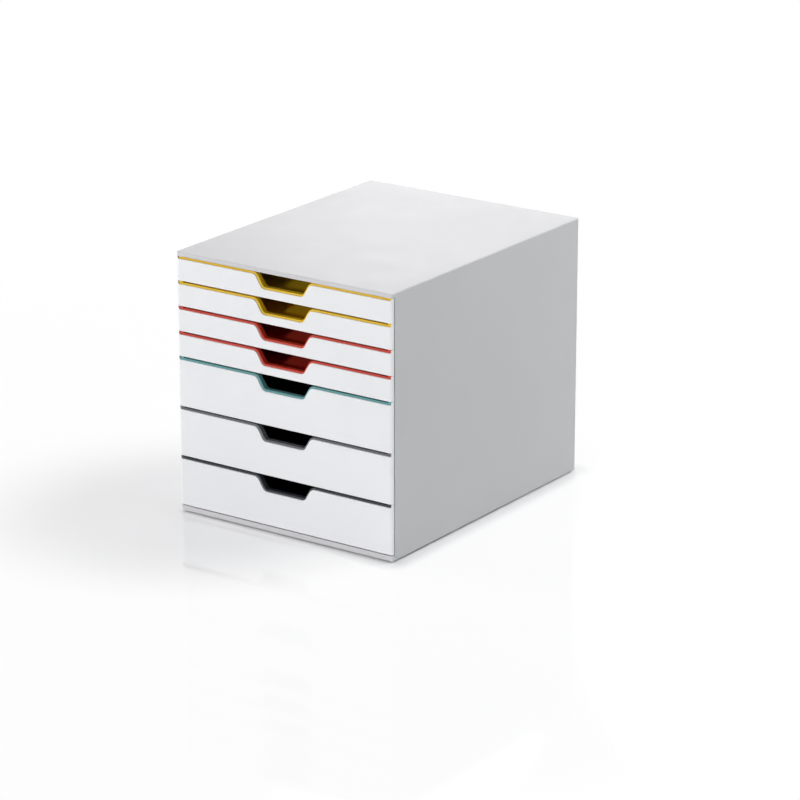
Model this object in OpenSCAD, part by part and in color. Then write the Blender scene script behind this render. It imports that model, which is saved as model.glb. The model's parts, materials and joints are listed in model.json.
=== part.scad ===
// Desktop drawer tower: a plastic housing with four small and three large sliding trays.
// Millimetres. X is the width, Y the depth with the fronts at -Y, Z is up.
// The origin is the middle of the footprint, on the surface that the feet stand on.

/* [Housing] */
// Overall width of the housing
box_w = 280; // [250:1:320]
// Overall depth, from the face of the fronts to the back
box_d = 356; // [300:1:420]
// Thickness of the two side walls
wall = 2.5; // [2:0.1:3.5]
// Thickness of the top and of the base
plate_t = 3; // [2.4:0.1:4]
// Radius of the four upright corners, shared by the front panels
corner_r = 4; // [2.5:0.5:6]
// Radius of the long outer edges
edge_r = 1.5; // [0.5:0.1:2]
// Height of the lip that hangs down along the front of the top
lip_h = 4.7; // [4.5:0.1:9]
// Height of the rail along the front of the base
rail_h = 6; // [4.5:0.1:9]
// Thickness of the lip and of the rail, front to back
lip_t = 2.5; // [2:0.1:3.5]
// How far the front edges of the side walls lie behind the face of the fronts
side_setback = 4.4; // [3.5:0.1:6]

/* [Rear panel] */
// Thickness of the rear panel
rear_t = 2; // [1.5:0.1:3]
// How far the rear panel lies inside the back edge
rear_inset = 2; // [1:0.5:5]

/* [Feet] */
// Height by which the feet stand out below the base
foot_h = 1.4; // [1:0.1:3]
// Depth of the recess that holds each foot
foot_sink = 0.8; // [0.5:0.1:1.2]
// Diameter of a foot
foot_d = 14; // [10:1:20]
// Clearance around a foot in its recess
foot_clear = 0.1; // [0.05:0.05:0.3]
// Distance from the side of the housing to the middle of a foot
foot_inset_x = 22; // [14:1:40]
// Distance from the front or the back to the middle of a foot
foot_inset_y = 24; // [14:1:40]

/* [Drawer stack] */
// Height that one small drawer takes in the stack
unit_h = 28; // [26:0.5:34]
// Height of a large drawer, in small drawers
large_units = 2; // [2:1:3]
// Height of the coloured strip between a front panel and the panel above it
strip_h = 4.4; // [3.5:0.1:5.5]
// Gap between the top front panel and the lip
top_gap = 3.1; // [1.6:0.1:3.4]
// Gap between the rail and the lowest front panel
rail_gap = 1.2; // [0.6:0.1:2]
// Gap between the raised ends of a front panel and what is above them
end_gap = 0.6; // [0.4:0.1:1]

/* [Front panels] */
// Thickness of a front panel
panel_t = 2; // [1.6:0.1:2.4]
// Width of the raised end on each side of a front panel
end_w = 2; // [1.5:0.1:3]
// Radius in the corner beside a raised end
end_r = 2; // [0.5:0.1:2.5]
// Gap between the ends, which wrap back around the corners, and the side walls
end_side_gap = 1.4; // [0.4:0.1:1.5]

/* [Finger cut-out] */
// Width of the cut-out along its lower edge
notch_w = 53.2; // [40:0.2:70]
// Width of the cut-out at the top of the front panel
notch_top_w = 71.2; // [62:0.2:100]
// Depth of the cut-out below the top of the front panel
notch_depth = 14.8; // [10:0.2:17]
// Radius of its two lower corners
notch_r = 7; // [3:0.5:9]
// Radius where its sides meet the top of the front panel
notch_top_r = 7; // [3:0.5:9]

/* [Trays] */
// Thickness of the walls of a tray
tray_wall = 1.6; // [1.2:0.1:2.2]
// Thickness of the floor of a tray
tray_floor = 1.6; // [1.2:0.1:2.2]
// Height of a tray's underside above the lower edge of its front panel
tray_lift = 0.6; // [0.4:0.1:1.5]
// Radius of the upright corners at the back of a tray, on the inside
tray_r = 3; // [1:0.5:8]
// Gap between the back of a tray and the rear panel
tray_rear_gap = 2; // [1:0.5:10]
// Thickness of the plate that carries the front panel
front_plate_t = 2; // [1.6:0.1:3]
// Depth of the flat rim behind the front panel
rim_depth = 5; // [4:0.1:10]
// How far the rim stands out past the front panel, above it and inside the cut-out
rim_rise = 2; // [1:0.1:2]
// Angle by which the inner front wall leans back towards the floor
front_lean = 4; // [2:0.5:12]
// Width of the raised tab at each end of the front plate
tab_w = 3.8; // [2:0.1:6]
// Gap between the front of a tray and the side walls
block_gap = 0.4; // [0.3:0.1:1]

/* [Runners] */
// Thickness of the runner frame's web against the side wall
web_t = 1.5; // [1:0.1:2.5]
// Width of a runner
runner_w = 9; // [7:0.5:12]
// Thickness of a runner
runner_t = 2; // [1.5:0.1:3]
// Thickness of the flange that rides on a runner
flange_t = 1.6; // [1.2:0.1:2.5]
// Height of the running gap between a flange and its runner
ride_gap = 0.3; // [0.2:0.05:0.6]
// Sideways running gap on each side of a tray and of its flanges
side_gap = 0.5; // [0.3:0.1:1]
// Space between the front blocks of the trays and the ends of the runners
runner_front_gap = 1.5; // [1:0.5:10]

/* [Stops] */
// Distance that a drawer pulls out before its stops meet
travel = 255; // [180:1:280]
// Gap that is left between the stops at full travel
stop_gap = 0.5; // [0.3:0.1:1]
// Length of a stop block on the runner
stop_len = 8; // [5:1:15]
// Height of a stop block below the runner
stop_h = 5.5; // [4:0.5:8]
// Length of a stop lug on the tray
lug_len = 6; // [4:1:12]
// Height of a stop lug
lug_h = 4.5; // [3:0.5:7]
// How far a stop lug stands out from the tray
lug_reach = 5; // [3:0.5:6]
// Gap between a stop lug and the runner above it
lug_gap = 0.4; // [0.3:0.1:0.8]

/* [Hidden] */
$fn = 64;

// Colours, as the photographed set has them; drawer 1 is the top one
housing_grey = "#b9bbbb";
panel_white = "#e9ebee";
foot_grey = "#4a4a4a";
TRAY_COLOURS = ["#e0b020", "#e0b020", "#c83c30", "#c83c30", "#5f9c9a", "#6b676c", "#303136"];

// Height of each drawer in small units, from the top one down
UNITS = [1, 1, 1, 1, large_units, large_units, large_units];

// What cuts go past the face that they break through
over = 1;

// Housing
front_y = -box_d / 2;
back_y = box_d / 2;
base_z = foot_h;
floor_z = base_z + plate_t;
rail_z = base_z + rail_h;
stack_z = rail_z + rail_gap;
lip_z = stack_z + unit_h * units_from(1) - strip_h + top_gap;
box_h = lip_z + lip_h;
ceiling_z = box_h - plate_t;
inner_half = box_w / 2 - wall;
rear_y = back_y - rear_inset - rear_t;

// Planes across a tray's front, from the face inwards
panel_y = front_y + panel_t;
plate_y = panel_y + front_plate_t;
rim_y = panel_y + rim_depth;

// Back of the front panels' ends
end_back_y = front_y + side_setback - end_side_gap;

// Half widths, from the side walls inwards
block_half = inner_half - block_gap;
web_half = inner_half - web_t;
flange_half = web_half - side_gap;
runner_half = web_half - runner_w;
tub_half = runner_half - side_gap;
cavity_half = tub_half - tray_wall;
recess_half = box_w / 2 - end_w;

// Places along the depth; the flanges and the lugs end where a tray's back corners start to round
tray_y = rear_y - tray_rear_gap;
tray_outer_r = tray_r + tray_wall;
flange_y = tray_y - tray_outer_r;
runner_y = rim_y + (large_units * unit_h + rim_rise) * tan(front_lean) + runner_front_gap;
lug_y = flange_y - lug_len;
stop_y = lug_y - travel - stop_gap - stop_len;

// Finger cut-out: half widths, the slant of its sides, and the way that a side runs up
notch_half = notch_w / 2;
notch_top_half = notch_top_w / 2;
notch_slant = atan2(notch_top_half - notch_half, notch_depth);
notch_up = [sin(notch_slant), cos(notch_slant)];

// Number of small units in drawer k and all the drawers below it
function units_from(k) = k > len(UNITS) ? 0 : UNITS[k - 1] + units_from(k + 1);

// Lower edge of drawer k's front panel, its upper edge, and the top of its raised ends
function unit_z(k) = stack_z + unit_h * units_from(k + 1);
function panel_z(k) = unit_z(k) + unit_h * UNITS[k - 1] - strip_h;
function end_z(k) = min(panel_z(k) + strip_h, lip_z) - end_gap;

// Underside of a tray and the top of its rim, and the top and the underside of its runners
function tray_z(k) = unit_z(k) + tray_lift;
function rim_z(k) = panel_z(k) + rim_rise;
function runner_top(k) = panel_z(k) - flange_t - ride_gap;
function runner_z(k) = runner_top(k) - runner_t;

// Back face of tray k's leaning front wall at height z
function lean_y(k, z) = rim_y + (rim_z(k) - z) * tan(front_lean);

// What the cut-out's outline gains on each side when it grows by w, apart from moving down by w
function widening(w) = w * (1 - sin(notch_slant)) / cos(notch_slant);

// Outline in X and Z, pushed along Y from y0 to y1
module along_y(y0, y1) {
    translate([0, y1, 0])
        rotate([90, 0, 0])
            linear_extrude(height = y1 - y0)
                children();
}

// Outline in Y and Z, pushed along X to half on both sides
module along_x(half) {
    translate([-half, 0, 0])
        rotate([90, 0, 90])
            linear_extrude(height = 2 * half)
                children();
}

// Outline in X and Y, pushed up from z0 to z1
module along_z(z0, z1) {
    translate([0, 0, z0])
        linear_extrude(height = z1 - z0)
            children();
}

// Box between two corners
module span(low, high) {
    translate(low)
        cube(high - low);
}

// Both mirror images of what lies on the +X side
module both_sides() {
    children();
    mirror([1, 0, 0])
        children();
}

// Rectangle between two corners, with round corners
module rounded(low, high, r) {
    translate(low + [r, 0])
        square(high - low - [2 * r, 0]);
    translate(low + [0, r])
        square(high - low - [0, 2 * r]);
    for (x = [low.x + r, high.x - r], y = [low.y + r, high.y - r])
        translate([x, y])
            circle(r);
}

// What lies between a corner and the arc that rounds it, and a bit on the corner's other side
module corner_sliver(corner, a, b, r) {
    // a and b point along the corner's two edges
    half = acos(a * b) / 2;
    reach = r / tan(half);
    inward = (a + b) / norm(a + b);
    middle = corner + inward * r / sin(half);
    difference() {
        polygon([corner - over * inward, corner + reach * a, middle, corner + reach * b]);
        translate(middle)
            circle(r);
    }
}

// Cut-out with sharp corners, in X and Z, grown by w; the top of the front panel is at height 0
module notch(w = 0) {
    half = notch_half + widening(w);
    top_half = notch_top_half + widening(w);
    translate([0, -w])
        polygon([
            [-half, -notch_depth], [half, -notch_depth],
            [top_half, 0], [top_half, strip_h], [-top_half, strip_h], [-top_half, 0]
        ]);
}

// The same cut-out with round corners
module round_notch(w = 0) {
    difference() {
        union() {
            notch(w);
            both_sides()
                corner_sliver([notch_top_half + widening(w), -w], [1, 0], -notch_up, notch_top_r - w);
        }
        both_sides()
            corner_sliver([notch_half + widening(w), -notch_depth - w], [-1, 0], notch_up, notch_r + w);
    }
}

module housing_shell() {
    color(housing_grey)
        difference() {
            intersection() {
                along_z(base_z, box_h)
                    rounded([-box_w / 2, front_y], [box_w / 2, back_y], corner_r);
                along_y(front_y - over, back_y + over)
                    rounded([-box_w / 2, base_z], [box_w / 2, box_h], edge_r);
                along_x(box_w / 2 + over)
                    rounded([front_y, base_z], [back_y, box_h], edge_r);
            }
            // Inside of the sleeve, open at the back
            span([-inner_half, front_y + lip_t, floor_z], [inner_half, back_y + over, ceiling_z]);
            // Mouth between the rail and the lip
            span([-inner_half, front_y - over, rail_z], [inner_half, front_y + lip_t + over, lip_z]);
            // Front edges of the side walls, which stand back behind the front panels
            span([-box_w, front_y - over, rail_z], [box_w, front_y + side_setback, lip_z]);
            foot_places()
                translate([0, 0, base_z - over])
                    cylinder(h = foot_sink + over, d = foot_d + 2 * foot_clear);
        }
}

module rear_panel() {
    color(housing_grey)
        span([-inner_half, rear_y, floor_z], [inner_half, rear_y + rear_t, ceiling_z]);
}

// Left is -X and right is +X, as seen from the front
module foot_place(side, end) {
    translate([side * (box_w / 2 - foot_inset_x), end * (box_d / 2 - foot_inset_y), 0])
        children();
}

module foot_places() {
    for (side = [-1, 1], end = [-1, 1])
        foot_place(side, end)
            children();
}

module foot(side, end) {
    color(foot_grey)
        foot_place(side, end)
            cylinder(h = foot_h + foot_sink, d = foot_d);
}

// Runner frame on the +X side: a web against the wall, with a runner and a stop for each drawer
module runner_frame() {
    color(housing_grey) {
        span([web_half, runner_y, floor_z], [inner_half, rear_y, ceiling_z]);
        for (k = [1:len(UNITS)]) {
            span([runner_half, runner_y, runner_z(k)], [inner_half, rear_y, runner_top(k)]);
            span([runner_half, stop_y, runner_z(k) - stop_h],
                 [inner_half, stop_y + stop_len, runner_top(k)]);
        }
    }
}

module right_runner_frame() {
    runner_frame();
}

module left_runner_frame() {
    mirror([1, 0, 0])
        runner_frame();
}

// Front of tray k as a solid block: the plate with its end tabs, and the leaning wall behind it
module tray_block(k) {
    low = tray_z(k);
    top = rim_z(k);
    along_x(block_half)
        polygon([[panel_y, low], [lean_y(k, low), low], [rim_y, top], [panel_y, top]]);
    both_sides()
        span([block_half - tab_w, panel_y, low], [block_half, plate_y, max(top, end_z(k))]);
}

// Hollow of that block, open below, which leaves the rim and the skin around the cut-out
module tray_block_hollow(k) {
    low = tray_z(k) - over;
    top = rim_z(k) - tray_wall;
    skin_y = tray_wall / cos(front_lean);
    intersection() {
        along_x(block_half - tray_wall)
            polygon([
                [plate_y, low], [lean_y(k, low) - skin_y, low],
                [lean_y(k, top) - skin_y, top], [plate_y, top]
            ]);
        along_y(plate_y - over, lean_y(k, low) + over)
            difference() {
                translate([-box_w / 2, low])
                    square([box_w, top - low]);
                translate([0, panel_z(k)])
                    notch(tray_wall - rim_rise);
            }
    }
}

module tray(k) {
    low = tray_z(k);
    top = panel_z(k);
    color(TRAY_COLOURS[k - 1])
        difference() {
            union() {
                tray_block(k);
                // Tub, with round corners at the back only
                along_z(low, top) {
                    rounded([-tub_half, rim_y], [tub_half, tray_y], tray_outer_r);
                    translate([-tub_half, plate_y])
                        square([2 * tub_half, flange_y - plate_y]);
                }
                // Flanges that ride on the runners, and the stop lugs
                both_sides() {
                    span([cavity_half, rim_y - tray_wall / 2, top - flange_t],
                         [flange_half, flange_y, top]);
                    span([cavity_half, lug_y, runner_z(k) - lug_gap - lug_h],
                         [tub_half + lug_reach, flange_y, runner_z(k) - lug_gap]);
                }
            }
            tray_block_hollow(k);
            along_y(panel_y - over, lean_y(k, low))
                translate([0, top])
                    round_notch(-rim_rise);
            // Space for what the drawer holds, behind the leaning wall
            intersection() {
                along_z(low + tray_floor, top + over)
                    rounded([-cavity_half, front_y], [cavity_half, tray_y - tray_wall], tray_r);
                along_x(tub_half)
                    polygon([
                        [lean_y(k, low), low], [tray_y, low],
                        [tray_y, top + over], [lean_y(k, top + over), top + over]
                    ]);
            }
        }
}

module front_panel(k) {
    low = unit_z(k);
    top = panel_z(k);
    color(panel_white)
        intersection() {
            along_z(low, end_z(k))
                rounded([-box_w / 2, front_y], [box_w / 2, back_y], corner_r);
            union() {
                along_y(front_y - over, panel_y)
                    difference() {
                        translate([-box_w / 2, low])
                            square([box_w, end_z(k) - low]);
                        // The strip above the panel, with round corners beside the raised ends
                        rounded([-recess_half, top], [recess_half, top + unit_h], end_r);
                        translate([0, top])
                            round_notch();
                    }
                both_sides()
                    span([recess_half, front_y, low], [box_w / 2, end_back_y, end_z(k)]);
            }
        }
}

housing_shell();
rear_panel();
left_runner_frame();
right_runner_frame();
foot(-1, -1);  // foot_front_left
foot(1, -1);  // foot_front_right
foot(-1, 1);  // foot_rear_left
foot(1, 1);  // foot_rear_right
tray(1);  // tray_1
tray(2);  // tray_2
tray(3);  // tray_3
tray(4);  // tray_4
tray(5);  // tray_5
tray(6);  // tray_6
tray(7);  // tray_7
front_panel(1);  // front_panel_1
front_panel(2);  // front_panel_2
front_panel(3);  // front_panel_3
front_panel(4);  // front_panel_4
front_panel(5);  // front_panel_5
front_panel(6);  // front_panel_6
front_panel(7);  // front_panel_7
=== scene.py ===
"""Looks of the desktop drawer tower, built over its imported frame. Metres, Z up, fronts at -Y."""
import json
import math

import bpy
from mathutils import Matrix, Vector


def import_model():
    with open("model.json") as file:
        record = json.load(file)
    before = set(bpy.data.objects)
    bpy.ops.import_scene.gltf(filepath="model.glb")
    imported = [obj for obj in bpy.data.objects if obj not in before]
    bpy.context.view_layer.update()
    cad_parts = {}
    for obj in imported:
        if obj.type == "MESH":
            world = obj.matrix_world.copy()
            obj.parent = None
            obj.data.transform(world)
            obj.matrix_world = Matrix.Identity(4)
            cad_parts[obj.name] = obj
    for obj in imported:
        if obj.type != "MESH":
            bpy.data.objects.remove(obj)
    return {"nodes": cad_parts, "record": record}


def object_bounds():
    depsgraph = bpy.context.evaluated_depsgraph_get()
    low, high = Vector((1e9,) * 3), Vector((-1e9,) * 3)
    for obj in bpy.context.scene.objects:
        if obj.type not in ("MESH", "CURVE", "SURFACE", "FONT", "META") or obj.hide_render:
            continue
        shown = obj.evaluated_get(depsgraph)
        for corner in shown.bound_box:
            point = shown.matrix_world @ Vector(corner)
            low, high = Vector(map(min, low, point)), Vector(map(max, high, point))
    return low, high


# The camera that took the photograph, solved from the object's edges
CAMERA_AT = Vector((2.1727, -3.0753, 1.3536))
CAMERA_TURN = math.radians(34.929)
CAMERA_DOWN = math.radians(18.355)
CAMERA_LENS = 163.75
CAMERA_SENSOR = 36.0

# Colours as they show on a screen
HOUSING = (205, 204, 206)
FRONT = (234, 235, 237)
TRAYS = {
    "tray_yellow": (230, 190, 38),
    "tray_red": (204, 66, 50),
    "tray_teal": (98, 160, 162),
    "tray_grey": (108, 106, 111),
    "tray_black": (58, 60, 65),
}
RUBBER = (42, 42, 43)
FLOOR = (253, 253, 254)

# Moulded plastic: scales of its slow noises in cells per metre, and how much they change
CLOUD_SCALE = 9
CLOUD_CHANGE = 0.012
SHEEN_SCALE = 34
SHEEN_CHANGE = 0.035
WAVE_SCALE = 7
SCATTER_DEPTH = 0.0012

# How far hard edges are rounded, by the start of a piece's name. The trays' narrow rims leave no room
# for rounding, and the runner frames are hidden.
ROUNDING = {"housing_shell": 0.0005, "rear_panel": 0.0005, "front_panel": 0.0009, "foot": 0.0006}
ROUNDING_STEPS = 3
# Edges that turn by more than the first angle are rounded, and what turns by more than the second after
# that is shaded sharp
HARD_EDGE = math.radians(35)
SHARP_EDGE = math.radians(40)
# Points closer than this are one
SAME_POINT = 0.000001
# Lets the large flat faces, not the narrow rounded ones, set the shading
FLAT_WEIGHT = 100

# The floor shows its real shading in a band beside the tower and in a soft patch at its front left
# corner, where the backdrop's white is held back. Both read darker than the floor around them, so they
# are partly
# painted shade: the band a painted darkening towards the tower's foot, the patch a painted shadow.
# Each reach is the pair of distances between which the white of the backdrop comes in, and each white
# is the backdrop's share: in the middle of the painted shadow, and around the tower outside patch and
# band.
FLOOR_SIDE = 24.0
FLOOR_IOR = 2.2
SHADE_BAND_REACH = (0, 0.025)
PAINTED_SHADOW_BEHIND_FRONT = 0.008
PAINTED_SHADOW_REACH = (0.1, 0.29)
FAR_REACH = (0.3, 0.9)
PAINTED_SHADOW_WHITE = 0.08
NEAR_WHITE = 0.88


def linear(colour):
    """A screen colour, 0 to 255, as the linear colour that a shader takes."""
    shares = [c / 255 for c in colour]
    return [s / 12.92 if s <= 0.04045 else ((s + 0.055) / 1.055) ** 2.4 for s in shares] + [1.0]


def scaled(colour, factor):
    return [c * factor for c in colour[:3]] + [1.0]


# Materials

class Shader:
    """A material under construction: makes nodes and joins them."""

    def __init__(self, name):
        self.material = bpy.data.materials.new(name)
        self.material.use_nodes = True
        self.tree = self.material.node_tree
        self.main = self.tree.nodes["Principled BSDF"]
        self.place = self.tree.nodes.new("ShaderNodeTexCoord").outputs["Object"]

    def node(self, kind, **values):
        node = self.tree.nodes.new(kind)
        for name, value in values.items():
            setattr(node, name, value)
        return node

    def join(self, output, socket):
        self.tree.links.new(output, socket)

    def noise(self, scale, detail):
        noise = self.node("ShaderNodeTexNoise")
        noise.inputs["Scale"].default_value = scale
        noise.inputs["Detail"].default_value = detail
        self.join(self.place, noise.inputs["Vector"])
        return noise.outputs["Fac"]

    def spread(self, output, low, high, start=0.3, end=0.7, kind="LINEAR"):
        """Takes an output from start..end, by default a noise's usual middle range, to low..high."""
        ramp = self.node("ShaderNodeMapRange", interpolation_type=kind)
        ramp.inputs["From Min"].default_value = start
        ramp.inputs["From Max"].default_value = end
        ramp.inputs["To Min"].default_value = low
        ramp.inputs["To Max"].default_value = high
        self.join(output, ramp.inputs["Value"])
        return ramp.outputs["Result"]

    def fade(self, distance, low, high, reach):
        """Goes from low to high over a reach, eased at both ends."""
        return self.spread(distance, low, high, *reach, kind="SMOOTHSTEP")

    def maths(self, operation, one, other):
        node = self.node("ShaderNodeMath", operation=operation)
        self.join(one, node.inputs[0])
        self.join(other, node.inputs[1])
        return node.outputs["Value"]

    def vector_maths(self, operation, vector, constant=(0, 0, 0)):
        """Vector maths on an output, with a constant vector where the operation takes a second one."""
        node = self.node("ShaderNodeVectorMath", operation=operation)
        self.join(vector, node.inputs[0])
        node.inputs[1].default_value = constant
        return node.outputs["Value" if operation in ("LENGTH", "DISTANCE") else "Vector"]

    def mottle(self, colour, output, amount):
        """Base colour that wanders a little around the given one."""
        mix = self.node("ShaderNodeMix", data_type="RGBA")
        mix.inputs["A"].default_value = scaled(colour, 1 - amount)
        mix.inputs["B"].default_value = scaled(colour, 1 + amount)
        self.join(self.spread(output, 0, 1), mix.inputs["Factor"])
        self.join(mix.outputs["Result"], self.main.inputs["Base Color"])

    def roughness(self, output, low, high):
        self.join(self.spread(output, low, high), self.main.inputs["Roughness"])

    def relief(self, heights):
        """Bump from (noise, height in metres) pairs, one on top of the other."""
        normal = None
        for output, height in heights:
            bump = self.node("ShaderNodeBump")
            bump.inputs["Distance"].default_value = height
            self.join(output, bump.inputs["Height"])
            if normal is not None:
                self.join(normal, bump.inputs["Normal"])
            normal = bump.outputs["Normal"]
        self.join(normal, self.main.inputs["Normal"])


def moulded(name, colour, roughness, grain_scale, grain_height, wave_height, scatter=0.0):
    """Injection-moulded plastic: a fine eroded grain, a slow waviness and slightly uneven gloss."""
    shader = Shader(name)
    shader.mottle(linear(colour), shader.noise(CLOUD_SCALE, detail=3), CLOUD_CHANGE)
    shader.roughness(shader.noise(SHEEN_SCALE, detail=4),
                     roughness - SHEEN_CHANGE, roughness + SHEEN_CHANGE)
    shader.relief([(shader.noise(WAVE_SCALE, detail=1), wave_height),
                   (shader.noise(grain_scale, detail=3), grain_height)])
    if scatter:
        shader.main.inputs["Subsurface Weight"].default_value = scatter
        shader.main.inputs["Subsurface Radius"].default_value = linear(colour)[:3]
        shader.main.inputs["Subsurface Scale"].default_value = SCATTER_DEPTH
    return shader.material


def housing_plastic(name):
    return moulded(name, HOUSING, roughness=0.46, grain_scale=2100, grain_height=0.000035,
                   wave_height=0.00012)


def front_plastic(name):
    return moulded(name, FRONT, roughness=0.36, grain_scale=2600, grain_height=0.000012,
                   wave_height=0.00005)


def tray_plastic(name, colour):
    return moulded(name, colour, roughness=0.38, grain_scale=2600, grain_height=0.000012,
                   wave_height=0.00006, scatter=0.12)


def rubber(name):
    shader = Shader(name)
    shader.mottle(linear(RUBBER), shader.noise(scale=160, detail=4), amount=0.12)
    shader.roughness(shader.noise(scale=220, detail=3), low=0.72, high=0.9)
    shader.relief([(shader.noise(scale=1500, detail=3), 0.00004)])
    return shader.material


def seen(tree):
    """1 for camera, glossy and transmission rays, 0 for the others."""
    path = tree.nodes.new("ShaderNodeLightPath")
    total = path.outputs["Is Camera Ray"]
    for kind in ("Is Glossy Ray", "Is Transmission Ray"):
        larger = tree.nodes.new("ShaderNodeMath")
        larger.operation = "MAXIMUM"
        tree.links.new(total, larger.inputs[0])
        tree.links.new(path.outputs[kind], larger.inputs[1])
        total = larger.outputs["Value"]
    return total


def floor_material(corner):
    """Pale, slightly glossy floor turning into the white backdrop away from the tower; held back beside
    the tower and at its front left corner, the backdrop leaves painted shade over the real shading
    there.
    """
    shader = Shader("floor")
    shader.mottle(linear(FLOOR), shader.noise(scale=0.6, detail=2), amount=0.004)
    shader.roughness(shader.noise(scale=3, detail=2), low=0.06, high=0.09)
    shader.main.inputs["IOR"].default_value = FLOOR_IOR

    past_corner = shader.vector_maths("SUBTRACT", shader.vector_maths("ABSOLUTE", shader.place), corner)
    off_tower = shader.vector_maths("LENGTH", shader.vector_maths("MAXIMUM", past_corner))
    # Centre of the painted shadow: a patch of darker floor at the tower's front left corner, where the
    # backdrop's white is held back
    painted_shadow_centre = (-corner[0], PAINTED_SHADOW_BEHIND_FRONT - corner[1], 0)
    off_painted_shadow = shader.vector_maths("DISTANCE", shader.place, painted_shadow_centre)
    # Less backdrop white close to the tower and in the patch, so the floor reads darker there: partly
    # its real shading, partly painted shade
    near = shader.maths("MINIMUM",
                        shader.fade(off_tower, 0, NEAR_WHITE, SHADE_BAND_REACH),
                        shader.fade(off_painted_shadow, PAINTED_SHADOW_WHITE, NEAR_WHITE, PAINTED_SHADOW_REACH))
    white = shader.maths("MAXIMUM", near, shader.fade(off_painted_shadow, 0, 1, FAR_REACH))

    backdrop = shader.node("ShaderNodeEmission")
    mix = shader.node("ShaderNodeMixShader")
    shader.join(shader.maths("MULTIPLY", white, seen(shader.tree)), mix.inputs["Fac"])
    shader.join(shader.main.outputs["BSDF"], mix.inputs[1])
    shader.join(backdrop.outputs["Emission"], mix.inputs[2])
    shader.join(mix.outputs["Shader"], shader.tree.nodes["Material Output"].inputs["Surface"])
    return shader.material


def materials():
    made = {
        "housing_grey": housing_plastic("housing_grey"),
        "front_white": front_plastic("front_white"),
        "rubber_feet": rubber("rubber_feet"),
    }
    for name, colour in TRAYS.items():
        made[name] = tray_plastic(name, colour)
    return made


# Pieces

def clean_normals():
    """Node group that drops the imported normals and marks the edges that still are sharp."""
    group = bpy.data.node_groups.new("clean normals", "GeometryNodeTree")
    group.interface.new_socket("Geometry", in_out="INPUT", socket_type="NodeSocketGeometry")
    group.interface.new_socket("Geometry", in_out="OUTPUT", socket_type="NodeSocketGeometry")
    start = group.nodes.new("NodeGroupInput")
    normals = group.nodes.new("GeometryNodeSetMeshNormal")
    angle = group.nodes.new("GeometryNodeInputMeshEdgeAngle")
    sharp = group.nodes.new("FunctionNodeCompare")
    sharp.inputs[1].default_value = SHARP_EDGE
    end = group.nodes.new("NodeGroupOutput")
    group.links.new(start.outputs[0], normals.inputs["Mesh"])
    group.links.new(angle.outputs["Unsigned Angle"], sharp.inputs[0])
    group.links.new(sharp.outputs["Result"], normals.inputs["Edge Sharpness"])
    group.links.new(normals.outputs["Mesh"], end.inputs[0])
    return group


def rounding(name):
    """How far the hard edges of a piece are rounded, 0 for none."""
    return next((width for start, width in ROUNDING.items() if name.startswith(start)), 0)


def edges(piece, width, group):
    """Shades a CAD node cleanly and rounds its hard edges, by modifiers that leave its mesh alone."""
    weld = piece.modifiers.new("weld", "WELD")
    weld.merge_threshold = SAME_POINT
    if width:
        bevel = piece.modifiers.new("edges", "BEVEL")
        bevel.width = width
        bevel.segments = ROUNDING_STEPS
        bevel.limit_method = "ANGLE"
        bevel.angle_limit = HARD_EDGE
        bevel.miter_outer = "MITER_ARC"
        bevel.use_clamp_overlap = True
    clean = piece.modifiers.new("clean normals", "NODES")
    clean.node_group = group
    flat = piece.modifiers.new("flat faces", "WEIGHTED_NORMAL")
    flat.weight = FLAT_WEIGHT
    flat.keep_sharp = True


def dress(frame, made):
    """Gives every CAD node its material and its edges."""
    group = clean_normals()
    for part in frame["record"]["subparts"]:
        piece = frame["nodes"][part["node"]]
        piece.data.materials.clear()
        piece.data.materials.append(made[part["material_slot"]])
        edges(piece, rounding(part["node"]), group)


# Stage

def floor(corner):
    half = FLOOR_SIDE / 2
    mesh = bpy.data.meshes.new("floor")
    mesh.from_pydata([(-half, -half, 0), (half, -half, 0), (half, half, 0), (-half, half, 0)],
                     [], [(0, 1, 2, 3)])
    piece = bpy.data.objects.new("floor", mesh)
    bpy.context.scene.collection.objects.link(piece)
    mesh.materials.append(floor_material(corner))


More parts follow.
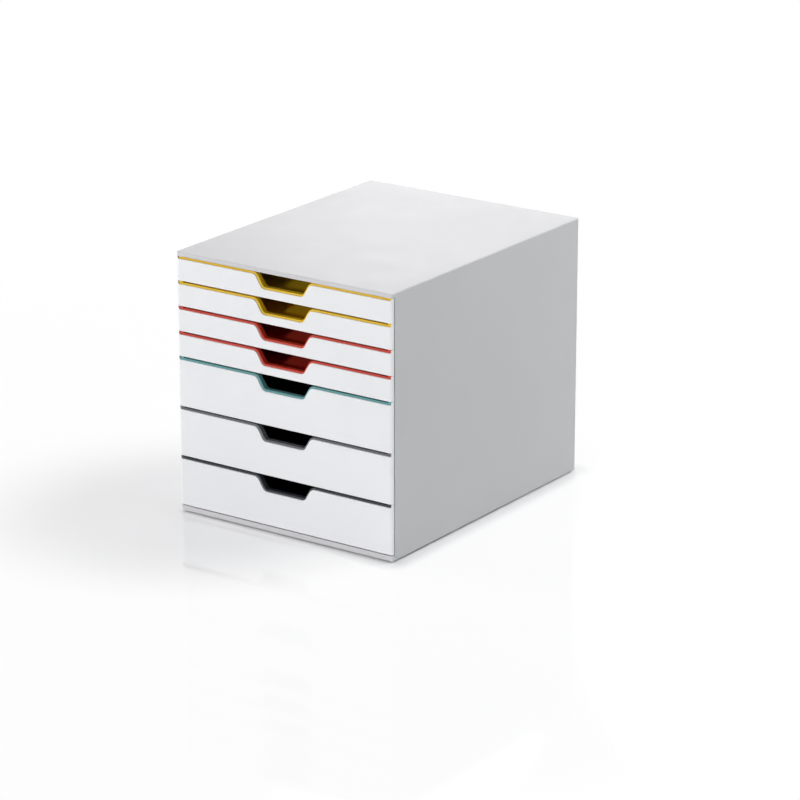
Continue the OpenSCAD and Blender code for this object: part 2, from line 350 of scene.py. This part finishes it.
def lamp(name, at, aim, size, power, colour=(1, 1, 1)):
    light = bpy.data.lights.new(name, "AREA")
    light.shape = "DISK"
    light.size = size
    light.energy = power
    light.color = colour
    piece = bpy.data.objects.new(name, light)
    bpy.context.scene.collection.objects.link(piece)
    piece.location = at
    piece.rotation_euler = (Vector(aim) - Vector(at)).to_track_quat("-Z", "Y").to_euler()
    piece.visible_camera = False


def lights():
    """A small frontal lamp that reaches into the small trays, and softer ones for the rest."""
    lamp("front", (0.15, -3.0, 1.02), (0, -0.17, 0.17), size=0.3, power=42.3)
    lamp("over", (0, 0.1, 2.2), (0, 0.1, 0), size=1.5, power=9.8, colour=(1, 0.98, 1))
    lamp("left", (-2.4, -0.6, 1.3), (0, 0, 0.15), size=1.4, power=31, colour=(1, 0.99, 1))
    lamp("right", (2.4, 0.1, 1.2), (0, 0, 0.15), size=1.4, power=9.2, colour=(0.85, 1, 0.96))
    lamp("back right", (0.9, 1.2, 1.6), (0, 0.1, 0.2), size=1.2, power=20.6, colour=(0.97, 0.99, 0.99))
    lamp("back left", (-0.8, 1.15, 0.8), (0, 0, 0.28), size=0.5, power=1.9, colour=(1, 0.98, 1))
    lamp("back", (-0.3, 1.6, 0.7), (0, 0.1, 0.25), size=0.8, power=4.75)


def world():
    """White backdrop; the lamps alone light the tower."""
    scene = bpy.context.scene
    scene.world = bpy.data.worlds.new("studio")
    scene.world.use_nodes = True
    tree = scene.world.node_tree
    backdrop = tree.nodes["Background"]
    backdrop.inputs["Color"].default_value = (1, 1, 1, 1)
    tree.links.new(seen(tree), backdrop.inputs["Strength"])


def camera():
    scene = bpy.context.scene
    view = bpy.data.cameras.new("camera")
    view.lens = CAMERA_LENS
    view.sensor_width = CAMERA_SENSOR
    piece = bpy.data.objects.new("camera", view)
    scene.collection.objects.link(piece)
    piece.location = CAMERA_AT
    piece.rotation_euler = (math.pi / 2 - CAMERA_DOWN, 0, CAMERA_TURN)
    scene.camera = piece
    scene.view_settings.view_transform = "Standard"


def corners(bounds):
    return [list(corner) for corner in bounds]


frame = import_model()
cad_box = corners(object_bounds())
dress(frame, materials())
floor(cad_box[1])
lights()
world()
camera()
